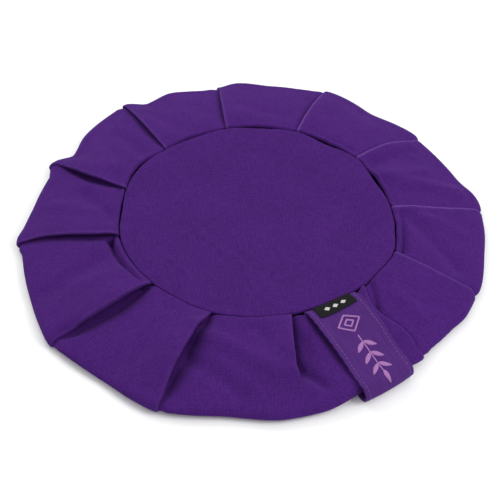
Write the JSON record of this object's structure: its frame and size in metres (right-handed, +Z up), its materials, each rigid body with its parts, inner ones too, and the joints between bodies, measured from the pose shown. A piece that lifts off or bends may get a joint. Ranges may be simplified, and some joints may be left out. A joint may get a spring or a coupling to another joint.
{
  "type": "pleated round floor cushion cover, empty",
  "caption": "Empty cover of a pleated round meditation cushion, lying flat, its side band folded and fanned in knife pleats, with a carrying strap over the rim.",
  "frame": {"origin": "centre of the lower round panel, on the surface that the cover lies on", "axes": "+Z up, out of the upper round panel; +X to the right and +Y away as seen by someone facing the side with the strap, which lies at the front right"},
  "size_m": [0.4395, 0.4459, 0.0241],
  "materials": {
    "canvas": "matt cotton canvas",
    "strap_twill": "fine twill with edge stitching",
    "label_weave": "smooth woven label"
  },
  "bodies": {
    "root": {"upper_panel": "canvas", "side_band": "canvas", "lower_panel": "canvas", "carry_strap": "strap_twill", "woven_label": "label_weave"}
  },
  "joints": []
}
